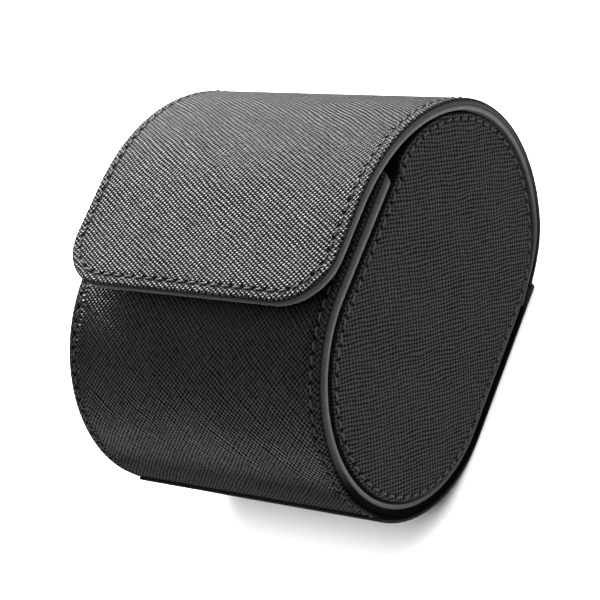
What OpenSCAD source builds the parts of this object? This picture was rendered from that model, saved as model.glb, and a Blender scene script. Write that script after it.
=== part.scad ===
// Travel case for one watch: a leather tub with a stadium-shaped side profile,
// two padded end panels, a wrap-over flap that folds back along its rear, and
// a removable watch pillow. X is the width, -Y the closed round end, +Y the
// round end that opens, and the case stands on its flat sole at Z = 0.

/* [Body] */
// Width of the front strip, the fixed wall of the case
body_w = 72; // [68:0.5:78]
// Radius of both round ends, measured on the leather
body_r = 34; // [33:0.5:34]
// Distance of the round ends' centres from the origin
body_c = 15; // [13:0.5:16]
// Reach of the lip on top, behind the origin
lip_y = 15; // [10:0.5:15]

/* [Sole] */
// Thickness of the sole under the case
sole_t = 0.8; // [0.6:0.1:1.5]
// Width of the sole
sole_w = 71; // [60:1:71]
// Where the sole ends, behind the origin
sole_y = 25.7; // [20:0.1:25.7]
// How far the sole runs up the closed round end, in degrees
sole_deg = 75; // [30:5:75]

/* [Flap] */
// Width of the flap and of the back it grows out of
flap_w = 74.5; // [73:0.5:80]
// Height of the flap's upper face
flap_top = 74.6; // [74.1:0.1:76.6]
// Reach of the flap in front of the origin
flap_y = 22; // [18:0.5:26]
// Corner radius of the flap's front edge
flap_corner = 12.5; // [6:0.5:16]
// Angle on the round end where the back bends out of the underside
back_hinge_deg = -71; // [-71:1:-68]
// Angle on the round end where the flap bends out of the back
flap_hinge_deg = 20; // [0:1:28]
// How far the boards stop short of each bend line, in degrees
bend_deg = 8; // [5:1:8]

/* [Layers] */
// Thickness of the leather
t_leather = 1.0; // [0.8:0.1:1.1]
// Thickness of the board that stiffens the front strip
t_board = 1.3; // [1.2:0.1:1.5]
// Thickness of the front strip's lining, whose painted edge shows
t_lining = 1.3; // [1:0.1:1.4]
// Thickness of the board that stiffens the back and the flap
flap_board_t = 0.6; // [0.4:0.1:0.7]
// Thickness of the lining of the back and the flap
flap_lining_t = 1.1; // [0.8:0.1:1.1]

/* [End panels] */
// Distance of the panel's leather face from the middle plane
end_face = 36.8; // [36.2:0.1:37.2]
// Thickness of the foam under the panel's leather
end_foam = 2.0; // [1.5:0.1:2.4]
// Thickness of the panel's board
end_board = 1.5; // [1:0.1:2]
// Thickness of the panel's lining
end_lining = 0.8; // [0.5:0.1:1]

/* [Pillow] */
// Length of the pillow across the case
pillow_w = 58; // [50:1:60]
// Radius of the pillow's round ends
pillow_r = 20.5; // [17:0.5:20.5]
// Distance between the centres of the pillow's round ends
pillow_sep = 24; // [16:1:24]
// Thickness of the pillow's cover
pillow_cover = 1.0; // [0.6:0.1:1.5]

/* [Closure] */
// Diameter of the magnets and of the keeper plates
disc_d = 10; // [6:1:11]
// Thickness of the keeper plates
keeper_t = 1.2; // [0.8:0.1:1.2]
// Thickness of the magnets
magnet_t = 1.8; // [1:0.1:1.8]
// Distance of each magnet from the middle plane
disc_x = 22; // [10:1:26]
// Distance of the magnets in front of the origin
disc_y = 8; // [4:1:8]

/* [Hidden] */
$fn = 144;
cz = body_r + sole_t;                     // height of both centres
top = cz + body_r;                        // upper face of the front strip
t_all = t_leather + t_board + t_lining;   // full wall of the front strip
t_skin = t_leather + t_board;             // down to its lining
t_back = t_leather + flap_board_t;
t_wall = t_back + flap_lining_t;          // full wall of the back and the flap
// The flap's bend over the top leaves the round end where the normal is
// (0.8, 0.6), so its radius follows from the height it has to reach.
flap_r = body_r + (flap_top - top) / 0.4;
fy2 = body_c - 0.8 * (flap_r - body_r);
fz2 = cz - 0.6 * (flap_r - body_r);
a_join = asin(0.6);
seam = 0.3;                               // half gap at a bend line, in degrees
edge = 1.0;                               // leather turned round the board
fit = 0.3;                                // clearance of moving leather
leather_c = [0.13, 0.13, 0.14];
board_c = [0.52, 0.46, 0.38];
lining_c = [0.36, 0.36, 0.37];
foam_c = [0.78, 0.78, 0.74];
steel_c = [0.70, 0.71, 0.73];
suede_c = [0.24, 0.24, 0.25];

// Profile pieces are drawn with the drawing's x along Y and its y along Z.
module across(w, off = 0) {
    rotate([90, 0, 90]) translate([0, 0, off - w / 2]) linear_extrude(w) children();
}
module wedge(py, pz, a0, a1, r) {
    n = max(2, ceil((a1 - a0) / 30));
    polygon(concat([[py, pz]], [for (i = [0:n])
        let (a = a0 + (a1 - a0) * i / n) [py + r * cos(a), pz + r * sin(a)]]));
}
module ring(py, pz, ro, ri, a0, a1) {
    intersection() {
        difference() {
            translate([py, pz]) circle(ro);
            translate([py, pz]) circle(ri);
        }
        wedge(py, pz, a0, a1, ro * 1.3);
    }
}
module bar(y0, y1, z0, z1) {
    translate([y0, z0]) square([y1 - y0, z1 - z0]);
}

// One layer of the front strip, from depth d0 to depth d1 under its leather.
module front_layer(d0, d1, lip) {
    ring(-body_c, cz, body_r - d0, body_r - d1, 90, 270);
    bar(-body_c, lip, top - d1, top - d0);
    bar(-body_c, 0, sole_t + d0, sole_t + d1);
}
// One layer of the tail, by which the back is fastened under the case.
module tail_layer(d0, d1, short = seam) {
    bar(0, body_c, sole_t + d0, sole_t + d1);
    ring(body_c, cz, body_r - d0, body_r - d1, -90, back_hinge_deg - short);
}
// One layer of the back, between two angles of the round end.
module back_layer(d0, d1, a0, a1) {
    ring(body_c, cz, body_r - d0, body_r - d1, a0, a1);
}
// One layer of the flap, up to a reach in front of the origin.
module flap_layer(d0, d1, a0, reach) {
    ring(body_c, cz, body_r - d0, body_r - d1, a0, a_join);
    ring(fy2, fz2, flap_r - d0, flap_r - d1, a_join, 90);
    bar(-reach, fy2, flap_top - d1, flap_top - d0);
}
// Plan of the flap: straight sides and two round front corners.
module flap_plan(inset) {
    hw = flap_w / 2 - inset;
    r = flap_corner - inset;
    y0 = -flap_y + inset;
    translate([0, 0, flap_top - 60]) linear_extrude(80) {
        translate([-hw, y0 + r]) square([2 * hw, 90]);
        translate([-hw + r, y0]) square([2 * (hw - r), r + 1]);
        for (s = [-1, 1]) translate([s * (hw - r), y0 + r]) circle(r);
    }
}
// Outline of an end panel, inset by d.
module end_outline(d, swell) {
    r0 = body_r - t_all - d;
    r1 = body_r - t_wall - fit - d;
    translate([-body_c, cz]) circle(r0);
    translate([body_c, cz]) circle(r0);
    bar(-body_c, body_c, cz - r0, cz + r0);
    ring(body_c, cz, r1, r0 - 5, back_hinge_deg + 1, 90);
    // behind the lip the panel's leather swells towards the flap
    if (swell) intersection() {
        translate([body_c - 0.75, cz + 1]) circle(r1);
        translate([lip_y + 0.2 + d, cz]) square([40, 40]);
    }
}
module end_slab(side, x0, x1, inset, swell = false) {
    across(x1 - x0, side * (x0 + x1) / 2) end_outline(inset, swell);
}
module discs(z, d, t) {
    for (s = [-1, 1]) translate([s * disc_x, -disc_y, z]) cylinder(d = d, h = t);
}

module sole() {
    color(leather_c) across(sole_w) {
        ring(-body_c, cz, body_r + sole_t, body_r, 270 - sole_deg, 270);
        difference() {
            bar(-body_c, sole_y, 0, 4);
            translate([body_c, cz]) circle(body_r);
            bar(-body_c - 1, body_c, sole_t, 5);
        }
    }
}
module front_leather() {
    color(leather_c) difference() {
        across(body_w) front_layer(0, t_skin, lip_y);
        // pocket for the board, open towards the lining
        across(body_w - 2 * edge) front_layer(t_leather, t_skin + 0.5, lip_y - edge);
    }
}
module front_board() {
    color(board_c) difference() {
        across(body_w - 2 * edge) front_layer(t_leather, t_skin, lip_y - edge);
        discs(top - t_skin, disc_d, t_board);
    }
}
module front_lining() {
    color(lining_c) across(body_w) front_layer(t_skin, t_all, lip_y - 0.4);
}
module keeper_plates() {
    color(steel_c) discs(top - t_leather - keeper_t, disc_d, keeper_t);
}
module tail_leather() {
    color(leather_c) difference() {
        across(body_w) tail_layer(0, t_skin);
        across(body_w - 2 * edge) tail_layer(t_leather, t_skin + 0.5, bend_deg);
    }
}
module tail_board() {
    color(board_c) across(body_w - 2 * edge) tail_layer(t_leather, t_skin, bend_deg);
}
module tail_lining() {
    color(lining_c) across(body_w) tail_layer(t_skin, t_all);
}
module end_stack(side, k) {
    x3 = end_face;
    x2 = x3 - t_leather;
    x1 = x2 - end_foam;
    x0 = x1 - end_board;
    if (k == 0) color(leather_c) end_slab(side, x2, x3, 0, true);
    if (k == 1) color(foam_c) end_slab(side, x1, x2, 0.8);
    if (k == 2) color(board_c) end_slab(side, x0, x1, 0.8);
    if (k == 3) color(suede_c) end_slab(side, x0 - end_lining, x0, 0);
}
module end_leather_right() { end_stack(1, 0); }
module end_foam_right() { end_stack(1, 1); }
module end_board_right() { end_stack(1, 2); }
module end_lining_right() { end_stack(1, 3); }
module end_leather_left() { end_stack(-1, 0); }
module end_foam_left() { end_stack(-1, 1); }
module end_board_left() { end_stack(-1, 2); }
module end_lining_left() { end_stack(-1, 3); }
module back_leather() {
    color(leather_c) difference() {
        across(flap_w) back_layer(0, t_back, back_hinge_deg + seam, flap_hinge_deg - seam);
        across(flap_w - 2 * edge)
            back_layer(t_leather, t_back + 0.5, back_hinge_deg + bend_deg, flap_hinge_deg - bend_deg);
    }
}
module back_board() {
    color(board_c) across(flap_w - 2 * edge)
        back_layer(t_leather, t_back, back_hinge_deg + bend_deg, flap_hinge_deg - bend_deg);
}
module back_lining() {
    color(lining_c) across(flap_w)
        back_layer(t_back, t_wall, back_hinge_deg + seam, flap_hinge_deg - seam);
}
module flap_leather() {
    color(leather_c) difference() {
        intersection() {
            across(flap_w) flap_layer(0, t_back, flap_hinge_deg + seam, flap_y);
            flap_plan(0);
        }
        intersection() {
            across(flap_w) flap_layer(t_leather, t_back + 0.5, flap_hinge_deg + bend_deg, flap_y);
            flap_plan(edge);
        }
    }
}
module flap_board() {
    color(board_c) intersection() {
        across(flap_w) flap_layer(t_leather, t_back, flap_hinge_deg + bend_deg, flap_y);
        flap_plan(edge);
    }
}
// The lining is moulded down over each magnet into a round pocket, and the
// closed flap rests on these two pockets.
module flap_lining() {
    z1 = flap_top - t_back;
    color(lining_c) difference() {
        union() {
            intersection() {
                across(flap_w) flap_layer(t_back, t_wall, flap_hinge_deg + seam, flap_y);
                flap_plan(0);
            }
            discs(top + fit, disc_d + 3, z1 - top - fit);
        }
        discs(z1 - magnet_t, disc_d, magnet_t + 0.2);
    }
}
module flap_magnets() {
    color(steel_c) discs(flap_top - t_back - magnet_t, disc_d, magnet_t);
}
// Side profile of the pillow, inset by d.
module pillow_profile(d) {
    pz = sole_t + t_all + fit + pillow_r;
    py = 1 - body_c;
    translate([py, pz]) circle(pillow_r - d);
    translate([py + pillow_sep, pz]) circle(pillow_r - d);
    bar(py, py + pillow_sep, pz - pillow_r + d, pz + pillow_r - d);
}
module pillow_foam() {
    color(foam_c) across(pillow_w - 2 * pillow_cover) pillow_profile(pillow_cover);
}
module pillow_cover_wrap() {
    color(suede_c) across(pillow_w - 2 * pillow_cover) difference() {
        pillow_profile(0);
        pillow_profile(pillow_cover);
    }
}
module pillow_end_caps() {
    color(suede_c) for (s = [-1, 1])
        across(pillow_cover, s * (pillow_w - pillow_cover) / 2) pillow_profile(0);
}

sole();
front_leather();
front_board();
front_lining();
keeper_plates();
tail_leather();
tail_board();
tail_lining();
end_leather_right();
end_foam_right();
end_board_right();
end_lining_right();
end_leather_left();
end_foam_left();
end_board_left();
end_lining_left();
back_leather();
back_board();
back_lining();
flap_leather();
flap_board();
flap_lining();
flap_magnets();
pillow_foam();
pillow_cover_wrap();
pillow_end_caps();
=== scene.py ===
import math

import bpy
import numpy as np
from mathutils import Matrix, Vector, noise


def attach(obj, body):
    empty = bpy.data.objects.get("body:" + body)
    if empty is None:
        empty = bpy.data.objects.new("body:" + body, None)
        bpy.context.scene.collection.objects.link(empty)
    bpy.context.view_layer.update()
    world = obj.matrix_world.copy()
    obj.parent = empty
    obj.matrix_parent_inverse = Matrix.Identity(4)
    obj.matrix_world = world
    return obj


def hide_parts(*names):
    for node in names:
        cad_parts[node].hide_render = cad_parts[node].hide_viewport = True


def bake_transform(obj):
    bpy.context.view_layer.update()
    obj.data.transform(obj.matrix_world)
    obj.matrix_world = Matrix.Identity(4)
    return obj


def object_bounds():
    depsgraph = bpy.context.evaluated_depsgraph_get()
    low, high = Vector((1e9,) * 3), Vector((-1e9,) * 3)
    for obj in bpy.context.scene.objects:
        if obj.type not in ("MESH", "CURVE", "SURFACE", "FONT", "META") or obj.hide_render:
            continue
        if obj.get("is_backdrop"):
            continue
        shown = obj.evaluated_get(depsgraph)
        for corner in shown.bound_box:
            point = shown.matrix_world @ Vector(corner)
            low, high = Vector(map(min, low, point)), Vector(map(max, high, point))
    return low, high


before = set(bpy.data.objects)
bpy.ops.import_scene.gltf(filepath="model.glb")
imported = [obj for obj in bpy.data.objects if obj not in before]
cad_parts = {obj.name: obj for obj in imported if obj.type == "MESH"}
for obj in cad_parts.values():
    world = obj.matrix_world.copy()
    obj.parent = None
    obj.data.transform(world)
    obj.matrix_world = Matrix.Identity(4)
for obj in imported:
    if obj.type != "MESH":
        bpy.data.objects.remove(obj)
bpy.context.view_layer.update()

MM = 0.001


# ---------------------------------------------------------------- camera
cam_data = bpy.data.cameras.new("photo_camera")
cam = bpy.data.objects.new("photo_camera", cam_data)
bpy.context.scene.collection.objects.link(cam)
cam_data.sensor_width = 36.0
cam_data.sensor_fit = "HORIZONTAL"
cam_data.lens = 128.52
cam_data.clip_start = 0.01
cam_data.clip_end = 20.0
c_right = Vector((0.7896, 0.3569, -0.4992))
c_up = Vector((-0.0808, 0.8668, 0.4920))
c_back = c_right.cross(c_up).normalized()
c_up = c_back.cross(c_right).normalized()
c_right.normalize()
rot = Matrix((c_right, c_up, c_back)).transposed()
cam.matrix_world = Matrix.Translation(Vector((0.30173, -0.17506, 0.39015))) @ rot.to_4x4()
bpy.context.scene.camera = cam

# ---------------------------------------------------------------- sizes, mm (those of part.scad)
R = 34.0            # both round ends
CY = 15.0           # their centres, in front of and behind the origin
SOLE = 0.8
CZ = R + SOLE
TOP = CZ + R
HW = 36.0           # half width of the front strip
FW = 37.25          # half width of back and flap
FTOP = 74.6
FY = -22.0
FR = R + (FTOP - TOP) / 0.4
FCY = CY - 0.8 * (FR - R)
FCZ = CZ - 0.6 * (FR - R)
A_JOIN = math.degrees(math.asin(0.6))
T_SKIN = 2.3        # leather and board of the front strip
T_ALL = 3.6
T_BACK = 1.6        # leather and board of the back and flap
T_WALL = 2.7
A_MID = -26.0       # where the two leather pieces of the back meet
A_TAIL = -84.0      # where the back's leather starts, hidden over the sole
PITCH = 3.1         # stitches


# ---------------------------------------------------------------- side profiles
class Profile:
    """A line in the Y-Z plane on a leather's outer face, by arc length, with its outward normal."""

    def __init__(self, *parts):
        self.parts = []
        s = 0.0
        for p in parts:
            if p[0] == "arc":
                _, cy, cz, r, a0, a1 = p
                length = abs(math.radians(a1 - a0)) * r
            else:
                _, y0, z0, y1, z1, ny, nz = p
                length = math.hypot(y1 - y0, z1 - z0)
            self.parts.append((s, length, p))
            s += length
        self.length = s

    def at(self, s):
        s = np.asarray(s, float)
        y = np.zeros_like(s); z = np.zeros_like(s); ny = np.zeros_like(s); nz = np.zeros_like(s)
        for k, (s0, length, p) in enumerate(self.parts):
            lo = -1e9 if k == 0 else s0
            hi = 1e9 if k == len(self.parts) - 1 else s0 + length
            m = (s >= lo) & (s < hi)
            t = (s[m] - s0) / length
            if p[0] == "arc":
                _, cy, cz, r, a0, a1 = p
                a = np.radians(a0 + (a1 - a0) * t)
                ny[m] = np.cos(a); nz[m] = np.sin(a)
                y[m] = cy + r * ny[m]; z[m] = cz + r * nz[m]
            else:
                _, y0, z0, y1, z1, by, bz = p
                y[m] = y0 + (y1 - y0) * t; z[m] = z0 + (z1 - z0) * t
                ny[m] = by; nz[m] = bz
        return y, z, ny, nz

    def place(self, s, x, n):
        """Points at arc length s, across x and at depth n under the leather's face."""
        y, z, ny, nz = self.at(s)
        return np.stack([x, y - ny * n, z - nz * n], -1)


# from the tail, under the case, up the closed round end and back over the top to the lip
STRIP = Profile(("arc", CY, CZ, R, A_TAIL, -90),
                ("line", CY, SOLE, -CY, SOLE, 0, -1),
                ("arc", -CY, CZ, R, 270, 90),
                ("line", -CY, TOP, CY, TOP, 0, 1))
# from the tail up the opening round end, over the top to the flap's front edge
WRAP = Profile(("arc", CY, CZ, R, A_TAIL, A_JOIN),
               ("arc", FCY, FCZ, FR, A_JOIN, 90),
               ("line", FCY, FTOP, FY, FTOP, 0, 1))
# the sole, from its rear edge forwards and up the closed round end
SOLE_P = Profile(("line", 25.7, 0, -CY, 0, 0, -1),
                 ("arc", -CY, CZ, R + SOLE, 270, 195))


def wrap_s(angle):
    return math.radians(angle - A_TAIL) * R


S_MID = wrap_s(A_MID)


# ---------------------------------------------------------------- mesh helpers
def new_object(name, verts, faces, mats=(), smooth=True, face_mats=None):
    me = bpy.data.meshes.new(name)
    me.from_pydata([tuple(v) for v in np.asarray(verts, float) * MM], [], [tuple(f) for f in faces])
    me.validate(clean_customdata=False)
    me.update()
    for m in mats:
        me.materials.append(m)
    if face_mats is not None:
        me.polygons.foreach_set("material_index", np.asarray(face_mats, np.int32))
    if smooth:
        me.polygons.foreach_set("use_smooth", np.ones(len(me.polygons), bool))
    ob = bpy.data.objects.new(name, me)
    bpy.context.scene.collection.objects.link(ob)
    return ob


def vec_attr(ob, name, values):
    a = ob.data.attributes.new(name, "FLOAT_VECTOR", "POINT")
    a.data.foreach_set("vector", np.asarray(values, np.float32).ravel())


def num_attr(ob, name, values):
    a = ob.data.attributes.new(name, "FLOAT", "POINT")
    a.data.foreach_set("value", np.asarray(values, np.float32).ravel())


def outward(ob, volume_sign=True):
    import bmesh
    bm = bmesh.new()
    bm.from_mesh(ob.data)
    bmesh.ops.recalc_face_normals(bm, faces=bm.faces)
    if bm.calc_volume(signed=True) < 0:
        bmesh.ops.reverse_faces(bm, faces=bm.faces)
    bm.to_mesh(ob.data)
    bm.free()
    ob.data.update()


def rim_profile(r_out, r_in, thick, groove=None, reach=3.8, groove_depth=0.16, groove_half=0.42, steps=6):
    """(inset, depth) pairs from the upper face's inside, round the edge, to the lower face's inside."""
    pts = []
    top = [reach]
    if groove is not None:
        for o, k in ((groove_half * 1.6, 0), (groove_half, 0.25), (groove_half * 0.5, 0.8), (0, 1.0),
                     (-groove_half * 0.5, 0.8), (-groove_half, 0.25), (-groove_half * 1.6, 0)):
            top.append((groove + o, k * groove_depth))
    for t in top:
        pts.append(t if isinstance(t, tuple) else (t, 0.0))
    if groove is None:
        pts.append((reach * 0.7, 0.0))
    pts.append((r_out * 1.25, 0.0))
    for i in range(steps + 1):
        a = math.pi / 2 * i / steps
        pts.append((r_out * (1 - math.sin(a)), r_out * (1 - math.cos(a))))
    gap = thick - r_in - r_out
    if gap > 0.5:
        pts.append((0.0, r_out + gap * 0.5))
    k = max(2, steps - 2)
    for i in range(k + 1):
        a = math.pi / 2 * i / k
        pts.append((r_in * (1 - math.cos(a)), thick - r_in * (1 - math.sin(a))))
    pts.append((reach * 0.6, thick))
    pts.append((reach, thick))
    out = [pts[0]]
    for p in pts[1:]:
        if abs(p[0] - out[-1][0]) + abs(p[1] - out[-1][1]) > 1e-4:
            out.append(p)
    return out


def steps_between(a, b, size):
    n = max(1, int(round(abs(b - a) / size)))
    return np.linspace(a, b, n + 1)


class Outline:
    """The flat outline of a strip, cut square at s0 and round-cornered at s1 (or round-cornered at both)."""

    def __init__(self, s0, s1, half, corner, step=1.15, xstep=1.5, corner0=None, nc=16):
        self.s0, self.s1, self.corner, self.corner0, self.nc = s0, s1, corner, corner0, nc
        self.half = half if callable(half) else (lambda s: np.full_like(np.asarray(s, float), half))
        lo = s0 if corner0 is None else s0 + corner0
        self.side = steps_between(lo, s1 - corner, step)
        w = float(self.half(np.array([s1]))[0])
        self.w1 = w
        self.w0 = float(self.half(np.array([s0]))[0])
        self.end = steps_between(-(w - corner), w - corner, xstep)

    def loop(self, d):
        """Points (s, x) of the outline moved in by d, and which index starts each stretch."""
        pts = []
        c, nc = self.corner, self.nc
        r = c - d

        def arc(cs, cx, a0, a1, rr):
            for i in range(1, nc):
                a = math.radians(a0 + (a1 - a0) * i / nc)
                pts.append((cs + rr * math.sin(a), cx + rr * math.cos(a)))
        w_side = self.half(self.side) - d
        left = [(s, -w) for s, w in zip(self.side, w_side)]
        pts += left
        arc(self.s1 - c, -(self.w1 - c), 180, 90, r)
        pts += [(self.s1 - d, x) for x in self.end]
        arc(self.s1 - c, self.w1 - c, 90, 0, r)
        pts += [(s, w) for s, w in zip(self.side[::-1], w_side[::-1])]
        if self.corner0 is not None:
            c0 = self.corner0
            r0 = c0 - d
            for i in range(1, nc):
                a = math.radians(0 - 90 * i / nc)
                pts.append((self.s0 + c0 + r0 * math.sin(a), self.w0 - c0 + r0 * math.cos(a)))
            k = len(self.end)
            xs = np.linspace(self.w0 - c0, -(self.w0 - c0), k)
            pts += [(self.s0 + d, x) for x in xs]
            for i in range(1, nc):
                a = math.radians(-90 - 90 * i / nc)
                pts.append((self.s0 + c0 + r0 * math.sin(a), -(self.w0 - c0) + r0 * math.cos(a)))
        return np.array(pts)

    def grid_sides(self):
        """Index ranges into loop(): left, end, right (and start) sides of the inner grid."""
        ns, ne, nc = len(self.side), len(self.end), self.nc
        h = nc // 2
        left0 = 0
        left1 = ns - 1 + h
        end1 = ns - 1 + nc + (ne - 1) + h
        total = len(self.loop(0.1))
        if self.corner0 is None:
            return {"left": list(range(left0, left1 + 1)),
                    "end": list(range(left1, end1 + 1)),
                    "right": list(range(end1, total))[::-1]}
        r1 = ns - 1 + nc + (ne - 1) + nc + (ns - 1) + h
        s1 = total - h
        return {"left": list(range(s1, total)) + list(range(0, left1 + 1)),
                "end": list(range(left1, end1 + 1)),
                "right": list(range(end1, r1 + 1))[::-1],
                "start": list(range(r1, s1 + 1))[::-1]}


def coons(left, right, start, end):
    """Fills a four-sided patch. left and right run along i, start and end along j."""
    ni, nj = len(left), len(start)
    u = np.linspace(0, 1, nj)[None, :, None]
    v = np.linspace(0, 1, ni)[:, None, None]
    L = left[:, None, :]; Rr = right[:, None, :]
    S = start[None, :, :]; E = end[None, :, :]
    # the weights are spaced evenly along i and j
    lu = (1 - u) * L + u * Rr
    lv = (1 - v) * S + v * E
    corners = ((1 - u) * (1 - v) * start[0] + u * (1 - v) * start[-1] + (1 - u) * v * end[0] + u * v * end[-1])
    return lu + lv - corners


def slab(name, profile, outline, prof, mats, depth0=0.0, wave=None, thickness=None, stitch_in=2.15):
    """A piece of leather: rounded all round, closed, bent along the profile."""
    loops = [outline.loop(d) for d, n in prof]
    K = len(loops[0])
    flat = []       # (s, x, n, rim, along)
    inset = prof
    stitch = outline.loop(stitch_in)
    closed = outline.corner0 is not None
    seg = np.linalg.norm(np.diff(stitch, axis=0), axis=1)
    along = np.concatenate([[0], np.cumsum(seg)])
    for j, (d, n) in enumerate(inset):
        first_side = j <= [i for i, p in enumerate(inset) if p[0] == min(q[0] for q in inset)][0]
        for k in range(K):
            s, x = loops[j][k]
            rim = d if n < 0.6 and first_side else -n
            flat.append((s, x, n, rim, along[k]))
    faces = []
    J = len(inset)
    for j in range(J - 1):
        for k in range(K if closed else K - 1):
            k2 = (k + 1) % K
            faces.append((j * K + k, j * K + k2, (j + 1) * K + k2, (j + 1) * K + k))
    rim_faces = (K if closed else K - 1) * (J - 3)   # all but the two innermost rings of the lower face
    g = outline.grid_sides()

    def grid(ring, n, upper):
        base = ring * K
        lp = loops[ring]
        left, right, end = (lp[g[q]] for q in ("left", "right", "end"))
        if "start" in g:
            start = lp[g["start"]]
        else:
            t = (end[:, 1] - end[0, 1]) / (end[-1, 1] - end[0, 1])
            start = np.stack([np.full(len(end), outline.s0), left[0, 1] + t * (right[0, 1] - left[0, 1])], -1)
        P = coons(left, right, start, end)
        ni, nj = P.shape[:2]
        idx = -np.ones((ni, nj), int)
        idx[:, 0] = [base + q for q in g["left"]]
        idx[:, -1] = [base + q for q in g["right"]]
        idx[-1, :] = [base + q for q in g["end"]]
        if "start" in g:
            idx[0, :] = [base + q for q in g["start"]]
        for i in range(ni):
            for j in range(nj):
                if idx[i, j] < 0:
                    idx[i, j] = len(flat)
                    s, x = P[i, j]
                    flat.append((s, x, n, 9.0 if upper else -9.0, 0.0))
        for i in range(ni - 1):
            for j in range(nj - 1):
                f = (idx[i, j], idx[i, j + 1], idx[i + 1, j + 1], idx[i + 1, j])
                faces.append(f if upper else f[::-1])
        return idx

    top_i = grid(0, inset[0][1], True)
    bot_i = grid(J - 1, inset[-1][1], False)
    if not closed:
        cap = list(top_i[0, :]) + [j * K + K - 1 for j in range(1, J)] + list(bot_i[0, ::-1][1:]) + \
            [j * K for j in range(J - 2, 0, -1)]
        faces.append(tuple(cap))
    A = np.array(flat)
    n = A[:, 2].copy()
    if thickness is not None:
        t = thickness(A[:, 0])
        base_t = prof[-1][1]
        n = n * 1.0
        low = A[:, 2] > base_t * 0.5
        n[low] = A[low, 2] + (t[low] - base_t)
    if wave is not None:
        n = n + np.array([wave(s, x) for s, x in A[:, :2]])
    P = profile.place(A[:, 0], A[:, 1], n + depth0)
    inner = np.arange(len(faces)) >= rim_faces
    ob = new_object(name, P, faces, mats, face_mats=inner.astype(int) if len(mats) > 1 else None)
    vec_attr(ob, "pat", np.stack([A[:, 0], A[:, 1], A[:, 2]], -1))
    num_attr(ob, "rim", A[:, 3])
    num_attr(ob, "along", A[:, 4])
    outward(ob)
    return ob


def stadium_loop(r0, r1, K0=64, KL=26, swell=0.0):
    """Closed loop (y, z) and its outward normals: front end of radius r0, opening end of radius r1."""
    pts = []
    for i in range(K0 + 1):                       # front end, from bottom to top
        a = math.radians(270 - 180 * i / K0)
        pts.append((-CY, CZ, r0, math.cos(a), math.sin(a)))
    for i in range(1, KL):
        t = i / KL
        pts.append((-CY + 2 * CY * t, CZ, r0 if swell else r0 + (r1 - r0) * t, 0, 1))
    for i in range(K0 + 1):
        deg = 90 - 180 * i / K0
        a = math.radians(deg)
        r = r1
        if swell and deg > 37:                     # swells towards the flap, down again behind the lip
            r = -0.75 * math.cos(a) + math.sin(a) + math.sqrt(r1 * r1 - (0.75 * math.sin(a) + math.cos(a)) ** 2)
            t = min(max((deg - 83.0) / 4.0, 0), 1)
            r = r1 + (r - r1) * swell
            r += (r0 - r) * t * t * (3 - 2 * t)
        elif swell and deg < -70:
            t = min((-70 - deg) / 20.0, 1)
            r = r1 + (r0 - r1) * t * t * (3 - 2 * t)
        pts.append((CY, CZ, r, math.cos(a), math.sin(a)))
    for i in range(1, KL):
        t = i / KL
        pts.append((CY - 2 * CY * t, CZ, r0 if swell else r1 + (r0 - r1) * t, 0, -1))
    return np.array(pts)


def stadium_piece(name, side, base, prof, mats, centre=(0, 0), groove_at=2.3):
    """prof: (inset, x) pairs from the centre of the outer face to the centre of the inner face."""
    K = len(base)
    V, rimv = [], []
    P = base
    seg = P[:, 2] - groove_at
    line = np.stack([P[:, 0] + seg * P[:, 3], P[:, 1] + seg * P[:, 4]], -1)
    dist = np.linalg.norm(np.diff(np.vstack([line, line[:1]]), axis=0), axis=1)
    along = np.concatenate([[0], np.cumsum(dist)])[:-1]
    for d, x, rim in prof:
        rr = P[:, 2] - (d if d >= 0 else 0)
        if d < 0:                                  # a share of the way in: -0.3 is 30 % of the radius left
            rr = P[:, 2] * (-d)
        V.append(np.stack([np.full(K, side * x), P[:, 0] + rr * P[:, 3], P[:, 1] + rr * P[:, 4]], -1))
        rimv.append(np.full(K, rim))
    V = np.concatenate(V); rimv = np.concatenate(rimv)
    faces = []
    J = len(prof)
    for j in range(J - 1):
        for k in range(K):
            k2 = (k + 1) % K
            faces.append((j * K + k, j * K + k2, (j + 1) * K + k2, (j + 1) * K + k))
    # the innermost loops close on the line between the two centres
    V = list(map(tuple, V)); rimv = list(rimv)
    for j in (0, J - 1):
        half = K // 2
        front = [k for k in range(K) if P[k, 0] <= -CY + 1e-6 and P[k, 3] < -1e-9]
        c0 = len(V); V.append((side * prof[j][1], -CY, CZ)); rimv.append(9.0 if j == 0 else -9.0)
        mids = {}
        K0n = 64; KLn = 26
        top = list(range(K0n, K0n + KLn + 1))
        bottom = [K - i if i else 0 for i in range(0, KLn + 1)]
        line_pts = [c0]
        for i in range(1, KLn + 1):
            y = -CY + 2 * CY * i / KLn
            line_pts.append(len(V)); V.append((side * prof[j][1], y, CZ)); rimv.append(9.0 if j == 0 else -9.0)
        for k in range(0, K0n):
            faces.append((j * K + k, j * K + k + 1, c0))
        for i in range(KLn):
            faces.append((j * K + top[i], j * K + top[i + 1], line_pts[i + 1], line_pts[i]))
            b0, b1 = bottom[i] % K, bottom[i + 1] % K
            faces.append((j * K + b1, j * K + b0, line_pts[i], line_pts[i + 1]))
        e0 = K0n + KLn
        for k in range(e0, e0 + K0n):
            faces.append((j * K + k, j * K + (k + 1) % K, line_pts[-1]))
    V = np.array(V)
    ob = new_object(name, V, faces, mats)
    vec_attr(ob, "pat", np.stack([V[:, 1], V[:, 2], np.zeros(len(V))], -1))
    num_attr(ob, "rim", np.array(rimv))
    al = np.zeros(len(V)); al[:K * J] = np.tile(along, J)
    num_attr(ob, "along", al)
    outward(ob)
    return ob, line


# ---------------------------------------------------------------- materials
def nodes_of(name):
    m = bpy.data.materials.new(name)
    m.use_nodes = True
    nt = m.node_tree
    bsdf = nt.nodes["Principled BSDF"]
    return m, nt, bsdf


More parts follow.
